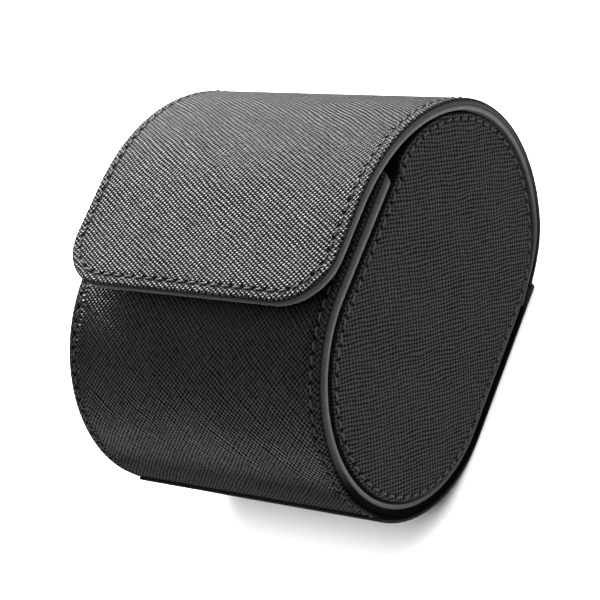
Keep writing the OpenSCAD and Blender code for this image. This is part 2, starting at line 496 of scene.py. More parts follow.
def N(nt, kind, **kw):
    n = nt.nodes.new(kind)
    for k, v in kw.items():
        setattr(n, k, v)
    return n


def math_node(nt, op, a, b=None, c=None, clamp=False):
    n = N(nt, "ShaderNodeMath", operation=op, use_clamp=clamp)
    for i, v in enumerate((a, b, c)):
        if v is None:
            continue
        if isinstance(v, (int, float)):
            n.inputs[i].default_value = v
        else:
            nt.links.new(v, n.inputs[i])
    return n.outputs[0]


def ramp(nt, value, a, b, lo=0.0, hi=1.0, smooth=True):
    n = N(nt, "ShaderNodeMapRange")
    n.interpolation_type = "SMOOTHSTEP" if smooth else "LINEAR"
    nt.links.new(value, n.inputs["Value"])
    n.inputs["From Min"].default_value = a
    n.inputs["From Max"].default_value = b
    n.inputs["To Min"].default_value = lo
    n.inputs["To Max"].default_value = hi
    return n.outputs["Result"]


def attr(nt, name):
    return N(nt, "ShaderNodeAttribute", attribute_name=name)


def mix_colour(nt, fac, a, b):
    n = N(nt, "ShaderNodeMix", data_type="RGBA")
    if isinstance(fac, (int, float)):
        n.inputs["Factor"].default_value = fac
    else:
        nt.links.new(fac, n.inputs["Factor"])
    for key, v in (("A", a), ("B", b)):
        s = [i for i in n.inputs if i.name == key and i.type == "RGBA"][0]
        if isinstance(v, tuple):
            s.default_value = (*v, 1.0)
        else:
            nt.links.new(v, s)
    return [o for o in n.outputs if o.type == "RGBA"][0]


def noise_tex(nt, vector, scale, detail=2.0, rough=0.5, dims="3D"):
    n = N(nt, "ShaderNodeTexNoise", noise_dimensions=dims)
    nt.links.new(vector, n.inputs["Vector"])
    n.inputs["Scale"].default_value = scale
    n.inputs["Detail"].default_value = detail
    n.inputs["Roughness"].default_value = rough
    return n


def rotated(nt, vector, degrees, scale=(1, 1, 1), location=(0, 0, 0)):
    m = N(nt, "ShaderNodeMapping", vector_type="POINT")
    nt.links.new(vector, m.inputs["Vector"])
    m.inputs["Rotation"].default_value = (0, 0, math.radians(degrees))
    m.inputs["Scale"].default_value = scale
    m.inputs["Location"].default_value = location
    return m.outputs["Vector"]


def ridges(nt, vector, degrees, period, warp, seed):
    """Parallel embossed ridges that waver, run together and end: height 0 to 1."""
    # x' runs across the ridges, y' along them
    v = rotated(nt, vector, degrees)
    slow = noise_tex(nt, rotated(nt, v, 0, scale=(0.12, 0.065, 1), location=(seed, seed * 2, 0)), 1.0, 2.0, 0.55)
    fast = noise_tex(nt, rotated(nt, v, 0, scale=(0.55, 0.12, 1), location=(seed * 3, seed, 0)), 1.0, 1.0, 0.5)
    sep = N(nt, "ShaderNodeSeparateXYZ")
    nt.links.new(v, sep.inputs[0])
    a = math_node(nt, "MULTIPLY", math_node(nt, "SUBTRACT", slow.outputs["Fac"], 0.5), warp * 5.0)
    b = math_node(nt, "MULTIPLY", math_node(nt, "SUBTRACT", fast.outputs["Fac"], 0.5), warp * 1.6)
    x = math_node(nt, "ADD", math_node(nt, "ADD", sep.outputs["X"], a), b)
    phase = math_node(nt, "MULTIPLY", x, 2 * math.pi / period)
    s = math_node(nt, "SINE", phase)
    return math_node(nt, "MULTIPLY_ADD", s, 0.5, 0.5)


def leather_material(name, pit_shade=(0.0008, 0.0008, 0.0008), high=(0.0105, 0.0105, 0.0108), angles=(-42, 47), periods=(0.90, 0.88),
                     rough=(0.85, 0.34), bump=0.22, hatch=True, stitch_at=2.15, stitched=True, rim_smooth=(0.25, 0.6),
                     pitch=PITCH, amp=(0.50, 0.50), spec=0.30, warp=(0.42, 0.28), sharp=(0.22, 0.72), edge=None,
                     edge_at=(-2.9, -0.2), shade_towards_sole=False):
    m, nt, bsdf = nodes_of(name)
    pat = attr(nt, "pat").outputs["Vector"]
    rim = attr(nt, "rim").outputs["Fac"]
    along = attr(nt, "along").outputs["Fac"]
    fine = noise_tex(nt, pat, 5.0, 3.0, 0.6)
    if hatch:
        ra = ridges(nt, pat, angles[0], periods[0], warp[0], 3.7)
        rb = ridges(nt, pat, angles[1], periods[1], warp[1], 11.3)
        # either set fades here and there, and single beads stand higher
        broad = noise_tex(nt, rotated(nt, pat, 20, scale=(0.07, 0.07, 1)), 1.0, 2.0, 0.5)
        bead = noise_tex(nt, pat, 0.8, 1.0, 0.5)
        share = ramp(nt, broad.outputs["Fac"], 0.35, 0.65, 0.86, 1.12)
        h = math_node(nt, "ADD", math_node(nt, "MULTIPLY", ra, amp[0]),
                      math_node(nt, "MULTIPLY", math_node(nt, "MULTIPLY", rb, amp[1]), share))
        h = math_node(nt, "MULTIPLY", h, ramp(nt, bead.outputs["Fac"], 0.25, 0.75, 0.80, 1.20))
        mask = ramp(nt, rim, rim_smooth[0], rim_smooth[1])
        height = math_node(nt, "MULTIPLY", h, mask)
        height = math_node(nt, "ADD", height, math_node(nt, "MULTIPLY", fine.outputs["Fac"], 0.12))
        tops = math_node(nt, "MULTIPLY", ramp(nt, h, sharp[0], sharp[1]), math_node(nt, "MULTIPLY_ADD", mask, 0.85, 0.15))
    else:
        grain = N(nt, "ShaderNodeTexVoronoi")
        nt.links.new(pat, grain.inputs["Vector"])
        grain.inputs["Scale"].default_value = 2.2
        height = math_node(nt, "ADD", math_node(nt, "MULTIPLY", grain.outputs["Distance"], 0.35),
                           math_node(nt, "MULTIPLY", fine.outputs["Fac"], 0.5))
        tops = math_node(nt, "MULTIPLY", fine.outputs["Fac"], 0.8)
    # painted shade: the pits are coloured near black, the ridge tops keep the leather's own tone
    colour = mix_colour(nt, tops, pit_shade, high)
    rn = noise_tex(nt, pat, 0.35, 3.0, 0.6)
    rr = math_node(nt, "ADD", ramp(nt, tops, 0.0, 1.0, rough[0], rough[1], smooth=False),
                   ramp(nt, rn.outputs["Fac"], 0.3, 0.7, -0.03, 0.05))
    # little light reaches the bottoms of the pits
    shine = math_node(nt, "MULTIPLY", math_node(nt, "MULTIPLY_ADD", tops, 0.90, 0.10), spec * 1.15)
    if edge is not None:
        # the rolled rim is rubbed smooth and grey; the grey is painted stronger towards the top and weaker towards the
        # bottom, as painted light and shade
        place = N(nt, "ShaderNodeSeparateXYZ")
        nt.links.new(N(nt, "ShaderNodeTexCoord").outputs["Object"], place.inputs[0])
        rim_grey_and_shade = math_node(nt, "MULTIPLY", ramp(nt, rim, edge_at[0], edge_at[1], 1.0, 0.0, smooth=False),
                           ramp(nt, place.outputs["Z"], 0.002, 0.046, 0.05, 1.0))
        rim_grey_and_shade = math_node(nt, "MULTIPLY", rim_grey_and_shade, ramp(nt, fine.outputs["Fac"], 0.3, 0.7, 0.75, 1.0))
        colour = mix_colour(nt, rim_grey_and_shade, colour, edge)
        if shade_towards_sole:
            # painted shade towards the sole: the colour darkens to the pit colour and the specular level drops
            sole_shade = ramp(nt, place.outputs["Z"], 0.038, 0.051, 0.92, 0.0)
            colour = mix_colour(nt, sole_shade, colour, pit_shade)
            shine = math_node(nt, "MULTIPLY", shine, math_node(nt, "SUBTRACT", 1.0, sole_shade))
    if stitched:
        # needle holes in the stitched line: dented in the bump and painted near black as shade
        off = math_node(nt, "ABSOLUTE", math_node(nt, "SUBTRACT", rim, stitch_at))
        ph = math_node(nt, "MODULO", math_node(nt, "ADD", along, pitch * 0.5), pitch)
        alo = math_node(nt, "ABSOLUTE", math_node(nt, "SUBTRACT", ph, pitch * 0.5))
        dist = math_node(nt, "SQRT", math_node(nt, "ADD", math_node(nt, "MULTIPLY", off, off),
                                                math_node(nt, "MULTIPLY", alo, alo)))
        hole = ramp(nt, dist, 0.34, 0.70, 1.0, 0.0)
        height = math_node(nt, "SUBTRACT", height, math_node(nt, "MULTIPLY", hole, 2.0))
        colour = mix_colour(nt, hole, colour, (0.0008, 0.0008, 0.0008))
        rr = math_node(nt, "ADD", rr, math_node(nt, "MULTIPLY", hole, 0.5), clamp=True)
    nt.links.new(colour, bsdf.inputs["Base Color"])
    nt.links.new(rr, bsdf.inputs["Roughness"])
    nt.links.new(shine, bsdf.inputs["Specular IOR Level"])
    b = N(nt, "ShaderNodeBump")
    b.inputs["Strength"].default_value = 1.0
    b.inputs["Distance"].default_value = bump * MM
    nt.links.new(height, b.inputs["Height"])
    nt.links.new(b.outputs["Normal"], bsdf.inputs["Normal"])
    return m


def simple_material(name, a, b, scale, rough=0.6, bump=0.05, detail=4.0, metallic=0.0, sheen=0.0, kind="noise", low=None):
    """Mottled colour with a matching fine bump; coordinates in object space."""
    m, nt, bsdf = nodes_of(name)
    co = N(nt, "ShaderNodeTexCoord").outputs["Object"]
    n1 = noise_tex(nt, co, scale, detail, 0.6)
    f = n1.outputs["Fac"]
    if kind == "fibre":
        n2 = noise_tex(nt, rotated(nt, co, 0, scale=(1, 6, 6)), scale * 0.6, 3.0, 0.7)
        f = math_node(nt, "ADD", math_node(nt, "MULTIPLY", f, 0.5), math_node(nt, "MULTIPLY", n2.outputs["Fac"], 0.5))
    colour = mix_colour(nt, ramp(nt, f, 0.3, 0.7), a, b)
    if low is not None:
        # painted shade: darker towards the bottom, and darker on the part of the rim next to the outer face
        place = N(nt, "ShaderNodeSeparateXYZ")
        nt.links.new(co, place.inputs[0])
        edge_shade_mask = ramp(nt, attr(nt, "rim").outputs["Fac"], -1.1, 0.0, 1.0, 0.30, smooth=False)
        colour = mix_colour(nt, math_node(nt, "MULTIPLY", edge_shade_mask, ramp(nt, place.outputs["Z"], 0.002, 0.046)), low, colour)
    nt.links.new(colour, bsdf.inputs["Base Color"])
    bsdf.inputs["Roughness"].default_value = rough
    bsdf.inputs["Metallic"].default_value = metallic
    if sheen:
        bsdf.inputs["Sheen Weight"].default_value = sheen
        bsdf.inputs["Sheen Roughness"].default_value = 0.4
    b2 = N(nt, "ShaderNodeBump")
    b2.inputs["Strength"].default_value = 1.0
    b2.inputs["Distance"].default_value = bump * MM
    nt.links.new(f, b2.inputs["Height"])
    nt.links.new(b2.outputs["Normal"], bsdf.inputs["Normal"])
    return m


# the front strip's leather carries painted shade towards the sole
M_LEATHER = leather_material("hatched_leather", angles=(-42, 49.3), periods=(0.92, 0.78), bump=0.22, rim_smooth=(0.10, 0.45), sharp=(0.20, 0.62),
                             high=(0.0080, 0.0080, 0.0083), rough=(0.85, 0.31), edge=(0.055, 0.055, 0.056), shade_towards_sole=True, spec=0.34)
M_WRAP = leather_material("hatched_leather_flap", angles=(31, -58), periods=(0.86, 0.84), stitch_at=2.45, amp=(0.54, 0.46),
                          bump=0.27, warp=(0.30, 0.22), sharp=(0.20, 0.58), rim_smooth=(0.05, 0.30), edge=(0.058, 0.058, 0.059),
                          edge_at=(-1.9, 0.05), high=(0.0108, 0.0108, 0.0112), spec=0.285)
M_PANEL = leather_material("panel_leather", angles=(-38, 47), stitch_at=1.6, periods=(0.90, 1.02), bump=0.13,
                           high=(0.0086, 0.0086, 0.0089), amp=(0.54, 0.46), spec=0.32, sharp=(0.10, 0.66))
M_SOLE = leather_material("smooth_leather", hatch=False, stitched=False, rough=(0.6, 0.5), bump=0.03)
# painted shade: the edge's low colour darkens it towards the bottom
M_EDGE = simple_material("painted_edge", (0.076, 0.076, 0.077), (0.108, 0.108, 0.110), 900, rough=0.5, bump=0.02, low=(0.018, 0.018, 0.0185))
M_SUEDE = simple_material("suede", (0.012, 0.012, 0.0125), (0.024, 0.024, 0.025), 1800, rough=0.95, bump=0.06, sheen=0.15)
M_THREAD_P = simple_material("thread_panel", (0.010, 0.010, 0.0103), (0.042, 0.042, 0.043), 3500, rough=0.55, bump=0.03)
M_PILLOW = simple_material("pillow_suede", (0.014, 0.014, 0.0145), (0.024, 0.024, 0.025), 700, rough=0.95, bump=0.10, sheen=0.25)
M_THREAD = simple_material("thread", (0.008, 0.008, 0.0085), (0.022, 0.022, 0.023), 3500, rough=0.6, bump=0.03)
M_BOARD = simple_material("fibre_board", (0.30, 0.25, 0.18), (0.46, 0.39, 0.29), 700, rough=0.85, bump=0.05, kind="fibre")
M_FOAM = simple_material("foam", (0.60, 0.60, 0.55), (0.76, 0.76, 0.71), 1500, rough=0.9, bump=0.12)
M_STEEL = simple_material("nickel_steel", (0.55, 0.56, 0.58), (0.68, 0.69, 0.71), 400, rough=0.32, bump=0.01, metallic=1.0)

# ---------------------------------------------------------------- front strip
r_e = 1.1
r_flap = 0.85
IN_FLAP = 2.45      # stitch row of back and flap, from the edge
PROF_STRIP = rim_profile(r_e, 0.35, T_SKIN, groove=2.15)
strip_out = Outline(0.0, STRIP.length, HW, 2.0, step=1.15)
strip = slab("front_strip_leather", STRIP, strip_out, PROF_STRIP, [M_LEATHER])
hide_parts("front_leather", "tail_leather")
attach(strip, "case")

PROF_LINE = rim_profile(0.35, 0.45, T_ALL - T_SKIN, reach=2.6, steps=4)
line_out = Outline(0.0, STRIP.length - 0.35, HW - 0.10, 1.8, step=1.3)
strip_lining = slab("front_strip_lining", STRIP, line_out, PROF_LINE, [M_EDGE, M_SUEDE], depth0=T_SKIN)
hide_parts("front_lining", "tail_lining")
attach(strip_lining, "case")

# ---------------------------------------------------------------- back and flap
def back_half(inset=0.0):
    def f(s):
        s = np.asarray(s, float)
        t = np.clip((s - wrap_s(-80)) / (wrap_s(-48) - wrap_s(-80)), 0, 1)
        return HW + (FW - HW) * t * t * (3 - 2 * t) - inset
    return f


PROF_WRAP = rim_profile(r_flap, 0.3, T_BACK, groove=IN_FLAP, reach=4.4)
PROF_WRAPL = rim_profile(0.3, 0.4, T_WALL - T_BACK, reach=2.6, steps=4)


def strip_between(name, profile, s0, s1, half, prof, mats, depth0=0.0, step=1.15, xstep=1.5):
    """As slab(), but cut square at both ends."""
    S = steps_between(s0, s1, step)
    nin = [p for p in prof]
    hw = half(S)
    inner = nin[0][0]
    nx = max(2, int(round(2 * (36 - inner) / xstep)))
    ring = []          # (share, inset, n, rim): share is the place across, -1 to 1
    for i in range(1, nx):
        ring.append((-1 + 2 * i / nx, inner, nin[0][1], 9.0))
    cut = [i for i, p in enumerate(nin) if p[0] == min(q[0] for q in nin)][0]
    right = [(1, d, n, d if (i <= cut and n < 0.6) else -n) for i, (d, n) in enumerate(nin)]
    ring += right
    for i in range(1, nx):
        ring.append((1 - 2 * i / nx, nin[-1][0], nin[-1][1], -9.0))
    ring += [(-1, d, n, r) for (_, d, n, r) in right[::-1]]
    K = len(ring)
    A = []
    stitch_s = np.concatenate([[0], np.cumsum(np.diff(S))])
    for i, s in enumerate(S):
        for share, d, n, r in ring:
            A.append((s, share * (hw[i] - d), n, r, stitch_s[i]))
    A = np.array(A)
    faces = []
    for i in range(len(S) - 1):
        for k in range(K):
            k2 = (k + 1) % K
            faces.append((i * K + k, i * K + k2, (i + 1) * K + k2, (i + 1) * K + k))
    faces.append(tuple(range(K)))
    faces.append(tuple((len(S) - 1) * K + k for k in range(K))[::-1])
    P = profile.place(A[:, 0], A[:, 1], A[:, 2] + depth0)
    fm = None
    if len(mats) > 1:
        inside = [nx - 1 + len(right) - 3 <= k <= 2 * nx - 2 + len(right) + 1 for k in range(K)]
        fm = [int(inside[k]) for _ in range(len(S) - 1) for k in range(K)] + [0, 0]
    ob = new_object(name, P, faces, mats, face_mats=fm)
    vec_attr(ob, "pat", np.stack([A[:, 0], A[:, 1], A[:, 2]], -1))
    num_attr(ob, "rim", A[:, 3])
    num_attr(ob, "along", A[:, 4])
    outward(ob)
    return ob


back_leather = strip_between("back_leather_lower", WRAP, 0.0, S_MID, back_half(), PROF_WRAP, [M_WRAP])
back_lining = strip_between("back_lining_lower", WRAP, 0.0, S_MID, back_half(0.1), PROF_WRAPL, [M_EDGE, M_SUEDE], depth0=T_BACK)

flap_out = Outline(S_MID, WRAP.length, FW, 12.5, step=1.15)
flap = slab("flap_leather_upper", WRAP, flap_out, PROF_WRAP, [M_WRAP], stitch_in=IN_FLAP)
flapl_out = Outline(S_MID, WRAP.length - 0.1, FW - 0.1, 12.4, step=1.3)
flap_lining = slab("flap_lining_upper", WRAP, flapl_out, PROF_WRAPL, [M_EDGE, M_SUEDE], depth0=T_BACK)


def blend_across(ob):
    """Bakes ob's transform into its mesh."""
    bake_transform(ob)


for ob in (back_leather, back_lining):
    blend_across(ob)
for ob in (flap, flap_lining):
    blend_across(ob)
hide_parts("back_leather")
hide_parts("back_lining")
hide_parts("flap_leather")
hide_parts("flap_lining")

# ---------------------------------------------------------------- sole
sole_out = Outline(0.0, SOLE_P.length, 35.45, 2.5, step=1.2, corner0=0.9)
PROF_SOLE = rim_profile(0.3, 0.12, SOLE, reach=2.0, steps=4)
# behind the flat the sole is thicker, up to the round end's curve


def sole_t(s):
    y = 25.7 - np.asarray(s, float)
    rise = CZ - np.sqrt(np.maximum(R * R - np.clip(y - CY, 0, None) ** 2, 0))
    return np.where(y > CY, rise, SOLE) - 0.02


sole = slab("sole_leather", SOLE_P, sole_out, PROF_SOLE, [M_SOLE], thickness=sole_t)
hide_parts("sole")
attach(sole, "case")

# ---------------------------------------------------------------- end panels
PANEL = stadium_loop(30.3, 31.0, swell=1.0)
X_IN = 32.4


def panel_profile(dome):
    out = []
    x_edge = 36.7
    rr = 0.95
    def rise(t):                                    # t: 0 at the rim, 1 on the middle line
        return dome * (1 - (1 - t) ** 2.2)
    for share in (0.015, 0.05, 0.10, 0.16, 0.23, 0.30, 0.38, 0.46, 0.54, 0.62, 0.70, 0.78, 0.85):
        out.append((-share, x_edge + rise(1 - share), 9.0))
    g = 1.6
    for d, k in ((3.3, 0.0), (2.7, 0.0), (2.25, 0.15), (1.95, 0.7), (1.6, 1.0), (1.25, 0.7)):
        out.append((d, x_edge + rise(d / 30.0) - 0.2 * k - (0.12 if d < 1.3 else 0), d))
    for i in range(1, 7):
        a = math.pi / 2 * i / 6
        out.append((rr * (1 - math.sin(a)), x_edge - 0.1 - rr * (1 - math.cos(a)), max(0.0, rr * (1 - math.sin(a)))))
    out.append((0.0, 34.0, -1.0))
    out.append((0.0, X_IN + 0.5, -2.0))
    out.append((0.15, X_IN + 0.12, -2.0))
    out.append((0.5, X_IN, -3.0))
    out.append((4.0, X_IN, -9.0))
    for share in (0.6, 0.3, 0.1):
        out.append((-share, X_IN, -9.0))
    return out


panels = []
for side, tag in ((1, "right"), (-1, "left")):
    ob, line = stadium_piece(f"end_panel_{tag}", side, PANEL, panel_profile(0.5), [M_PANEL], groove_at=1.6)
    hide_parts(f"end_leather_{tag}")
    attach(ob, "case")
    panels.append((side, tag, line))
    base = stadium_loop(29.9, 30.6)
    prof = [(-0.02, 31.5, 9), (-0.3, 31.5, 9), (-0.6, 31.5, 9), (3.0, 31.5, 3.0), (1.0, 31.5, 1.0), (0.35, 31.58, 0.4), (0.0, 31.85, 0.0),
            (0.0, 32.1, 0.0), (0.02, 32.37, 0), (3.0, 32.38, 0), (-0.6, 32.38, 0), (-0.3, 32.38, 0), (-0.02, 32.38, 0)]
    lin, _ = stadium_piece(f"end_lining_face_{tag}", side, base, prof, [M_SUEDE])
    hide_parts(f"end_lining_{tag}")
    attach(lin, "case")


# ---------------------------------------------------------------- stitches
def stitch_mesh(name, centres, tangents, normals, lengths, mat, radius=0.27, lift=0.16, dip=0.42, slant=9.0):
    """One rounded thread per stitch, dipping into its needle holes. All arrays in mm."""
    sides, segs = 8, 8
    V, F = [], []
    for c, t, n, L in zip(centres, tangents, normals, lengths):
        t = t / np.linalg.norm(t); n = n / np.linalg.norm(n)
        b = np.cross(n, t)
        a = math.radians(slant)
        t2 = t * math.cos(a) + b * math.sin(a)
        b2 = np.cross(n, t2)
        start = len(V)
        for i in range(segs + 1):
            u = -1 + 2 * i / segs
            h = lift - (lift + dip) * abs(u) ** 3.2
            r = radius * (1.0 - 0.28 * abs(u) ** 4)
            slope = -(lift + dip) * 3.2 * abs(u) ** 2.2 * (1 if u >= 0 else -1) / (L * 0.5)
            up = n - t2 * slope
            up = up / np.linalg.norm(up)
            p = c + t2 * (u * L * 0.5) + n * h
            for k in range(sides):
                w = 2 * math.pi * k / sides
                V.append(p + up * (r * 0.82 * math.sin(w)) + b2 * (r * math.cos(w)))
        for i in range(segs):
            for k in range(sides):
                k2 = (k + 1) % sides
                F.append((start + i * sides + k, start + i * sides + k2, start + (i + 1) * sides + k2, start + (i + 1) * sides + k))
        F.append(tuple(start + k for k in range(sides))[::-1])
        F.append(tuple(start + segs * sides + k for k in range(sides)))
    ob = new_object(name, V, F, [mat])
    outward(ob)
    return ob


def resample(line, pitch, start=0.0):
    """Mid points and directions of stitches along a polyline (n, 2)."""
    seg = np.linalg.norm(np.diff(line, axis=0), axis=1)
    acc = np.concatenate([[0], np.cumsum(seg)])
    count = int((acc[-1] - start) // pitch)
    at = start + pitch * (np.arange(count) + 0.5)
    pts = np.stack([np.interp(at, acc, line[:, i]) for i in range(line.shape[1])], -1)
    ahead = np.stack([np.interp(at + 0.3, acc, line[:, i]) for i in range(line.shape[1])], -1)
    behind = np.stack([np.interp(at - 0.3, acc, line[:, i]) for i in range(line.shape[1])], -1)
    return pts, ahead - behind


def stitches_on(name, profile, flat_line, mat, depth=0.16):
    pts, dirs = resample(flat_line, PITCH)
    y, z, ny, nz = profile.at(pts[:, 0])
    c = profile.place(pts[:, 0], pts[:, 1], np.full(len(pts), depth))
    normals = np.stack([np.zeros(len(pts)), ny, nz], -1)
    # the profile's own direction of growing s
    along = np.stack([np.zeros(len(pts)), *(profile.at(pts[:, 0] + 0.2)[i] - profile.at(pts[:, 0] - 0.2)[i] for i in (0, 1))], -1)
    along /= np.linalg.norm(along, axis=1)[:, None]
    across = np.tile((1.0, 0, 0), (len(pts), 1))
    t = along * dirs[:, :1] + across * dirs[:, 1:2]
    return stitch_mesh(name, c, t, normals, np.full(len(pts), PITCH * 0.80), mat)


row = stitches_on("front_strip_stitches", STRIP, strip_out.loop(2.15), M_THREAD)
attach(row, "case")
row = stitches_on("flap_stitches", WRAP, flap_out.loop(IN_FLAP), M_THREAD)
blend_across(row)
half = back_half()
S = np.linspace(0.0, S_MID, 60)
rows = []
for sgn in (-1, 1):
    line = np.stack([S, sgn * (half(S) - IN_FLAP)], -1)
    rows.append(stitches_on(f"back_stitches_{'left' if sgn < 0 else 'right'}", WRAP, line, M_THREAD))
for row in rows:
    blend_across(row)
for side, tag, line in panels:
    loop = np.vstack([line, line[:1]])
    pts, dirs = resample(loop, PITCH)
    x = 36.7 - 0.13
    c = np.stack([np.full(len(pts), side * x), pts[:, 0], pts[:, 1]], -1)
    t = np.stack([np.zeros(len(pts)), dirs[:, 0], dirs[:, 1]], -1)
    nrm = np.tile((float(side), 0, 0), (len(pts), 1))
    row = stitch_mesh(f"end_panel_stitches_{tag}", c, t, nrm, np.full(len(pts), PITCH * 0.80), M_THREAD_P)
    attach(row, "case")

# ---------------------------------------------------------------- pillow
PZ = SOLE + T_ALL + 0.3 + 20.5
PY0, PY1 = -14.0, 10.0
P_ARC, P_LINE, P_ACROSS = 24, 10, 24
P_X, P_R = 28.05, 19.7      # the sewn shape before it is stuffed


def pillow_ring(r):
    """Points (y, z) round the pillow: front end from bottom to top, top, rear end, bottom."""
    pts = []
    for i in range(P_ARC + 1):
        a = math.radians(270 - 180 * i / P_ARC)
        pts.append((PY0 + r * math.cos(a), PZ + r * math.sin(a)))
    for i in range(1, P_LINE):
        pts.append((PY0 + (PY1 - PY0) * i / P_LINE, PZ + r))
    for i in range(P_ARC + 1):
        a = math.radians(90 - 180 * i / P_ARC)
        pts.append((PY1 + r * math.cos(a), PZ + r * math.sin(a)))
    for i in range(1, P_LINE):
        pts.append((PY1 - (PY1 - PY0) * i / P_LINE, PZ - r))
    return np.array(pts)


def pillow_shell():
    """The sewn cover: a band round the middle and an end piece on each side. Returns it and its two seam loops."""
    ring = pillow_ring(P_R)
    K = len(ring)
    V, F = [], []
    for i in range(P_ACROSS + 1):
        x = -P_X + 2 * P_X * i / P_ACROSS
        V += [(x, y, z) for y, z in ring]
    for i in range(P_ACROSS):
        for k in range(K):
            F.append((i * K + k, i * K + (k + 1) % K, (i + 1) * K + (k + 1) % K, (i + 1) * K + k))
    q = P_ARC // 4
    front = list(range(q, P_ARC - q + 1))
    top = list(range(P_ARC - q, P_ARC + P_LINE + q + 1))
    rear = list(range(P_ARC + P_LINE + q, P_ARC + P_LINE + P_ARC - q + 1))[::-1]
    bottom = [k % K for k in range(P_ARC + P_LINE + P_ARC - q, K + q + 1)][::-1]
    for row, flip in ((0, False), (P_ACROSS, True)):
        base = row * K
        G = coons(ring[front], ring[rear], ring[bottom], ring[top])
        ni, nj = G.shape[:2]
        idx = -np.ones((ni, nj), int)
        idx[:, 0] = [base + k for k in front]
        idx[:, -1] = [base + k for k in rear]
        idx[0, :] = [base + k for k in bottom]
        idx[-1, :] = [base + k for k in top]
        for i in range(ni):
            for j in range(nj):
                if idx[i, j] < 0:
                    idx[i, j] = len(V)
                    V.append((-P_X if row == 0 else P_X, G[i, j, 0], G[i, j, 1]))
        for i in range(ni - 1):
            for j in range(nj - 1):
                f = (idx[i, j], idx[i, j + 1], idx[i + 1, j + 1], idx[i + 1, j])
                F.append(f[::-1] if flip else f)
    ob = new_object("pillow_cover", V, F, [M_PILLOW])
    outward(ob)
    return ob, [list(range(K)), [P_ACROSS * K + k for k in range(K)]]


def stuffed(ob, pinned, cap, frames=20):
    """Blows the cover up a little against its seams, with no point moving more than cap mm."""
    count = len(ob.data.vertices)
    rest = np.zeros(count * 3)
    ob.data.vertices.foreach_get("co", rest)
    rest = rest.reshape(-1, 3)
    group = ob.vertex_groups.new(name="seams")
    group.add(pinned, 1.0, "REPLACE")
    cloth = ob.modifiers.new("Cloth", "CLOTH")
    st = cloth.settings
    st.quality = 6
    st.mass = 0.3
    st.tension_stiffness = st.compression_stiffness = 15
    st.shear_stiffness = 5
    st.bending_stiffness = 0.5
    st.use_pressure = True
    st.uniform_pressure_force = 60.0        # a small, firmly filled piece
    st.effector_weights.gravity = 0.0
    st.vertex_group_mass = "seams"
    cloth.point_cache.frame_start = 1
    cloth.point_cache.frame_end = frames
    scene = bpy.context.scene
    for f in range(1, frames + 1):
        scene.frame_set(f)
    ev = ob.evaluated_get(bpy.context.evaluated_depsgraph_get())
    me = ev.to_mesh()
    moved = np.zeros(count * 3)
    me.vertices.foreach_get("co", moved)
    moved = moved.reshape(-1, 3)
    ev.to_mesh_clear()
    ob.modifiers.remove(cloth)
    ob.vertex_groups.remove(group)
    scene.frame_set(1)
    d = moved - rest
    far = np.linalg.norm(d, axis=1)
    if not np.isfinite(far).all() or far.max() < 1e-5:
        return rest / MM, np.zeros_like(rest)
    d *= np.minimum(1.0, cap * MM / np.maximum(far, 1e-9))[:, None]
    return rest / MM, d / MM


pillow, seams = pillow_shell()
rest = np.array([v.co for v in pillow.data.vertices]) / MM
rest, move = stuffed(pillow, seams[0] + seams[1], 0.75)
print("pillow moved, mm", float(np.linalg.norm(move, axis=1).max()), float(np.linalg.norm(move, axis=1).mean()))
P = rest + move
# the sewn ends pucker the cloth beside the seam, and the pillow is flat where it rests
for i in range(len(P)):
    x, y, z = P[i]
    cy = min(max(y, PY0), PY1)
    out = np.array((0.0, y - cy, z - PZ))
    far = np.linalg.norm(out)
    gap = P_X - abs(rest[i][0])
    if gap > 0.5 and far > 10 and gap < 9:
        round_at = math.atan2(z - PZ, y - cy) * P_R + cy
        ripple = 0.5 + 0.5 * noise.noise(Vector((round_at * 0.30, 4.0 if x > 0 else 9.0, 0)))
        fold = 0.16 * ripple * math.sin(round_at * 2 * math.pi / 7.5 + 2.0 * noise.noise(Vector((round_at * 0.12, 1.0, 0))))
        P[i] += out / far * fold * (1 - gap / 9.0)
P[:, 2] = np.maximum(P[:, 2], SOLE + T_ALL + 0.12)
pillow.data.vertices.foreach_set("co", (P * MM).ravel())
pillow.data.update()
sub = pillow.modifiers.new("smooth", "SUBSURF")
sub.levels = sub.render_levels = 1
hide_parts("pillow_cover_wrap", "pillow_end_caps", "pillow_foam")
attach(pillow, "cushion")


def tube(name, path, radius, mat, sides=8):
    """A closed round cord through the points of path (n, 3), mm."""
    n = len(path)
    V, F = [], []
    for k in range(n):
        t = path[(k + 1) % n] - path[k - 1]
        t = t / np.linalg.norm(t)
        a = np.array((1.0, 0, 0))
        b = np.cross(t, a)
        b = b / np.linalg.norm(b)
        a = np.cross(b, t)
        for i in range(sides):
            w = 2 * math.pi * i / sides
            V.append(path[k] + a * radius * math.cos(w) + b * radius * math.sin(w))
    for k in range(n):
        k2 = (k + 1) % n
        for i in range(sides):
            i2 = (i + 1) % sides
            F.append((k * sides + i, k * sides + i2, k2 * sides + i2, k2 * sides + i))
    ob = new_object(name, V, F, [mat])
    outward(ob)
    return ob


for loop, tag in ((seams[0], "left"), (seams[1], "right")):
    path = P[loop].copy()
    path[:, 2] = np.maximum(path[:, 2], SOLE + T_ALL + 0.75)
    cord = tube(f"pillow_piping_{tag}", path, 0.62, M_PILLOW)
    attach(cord, "cushion")

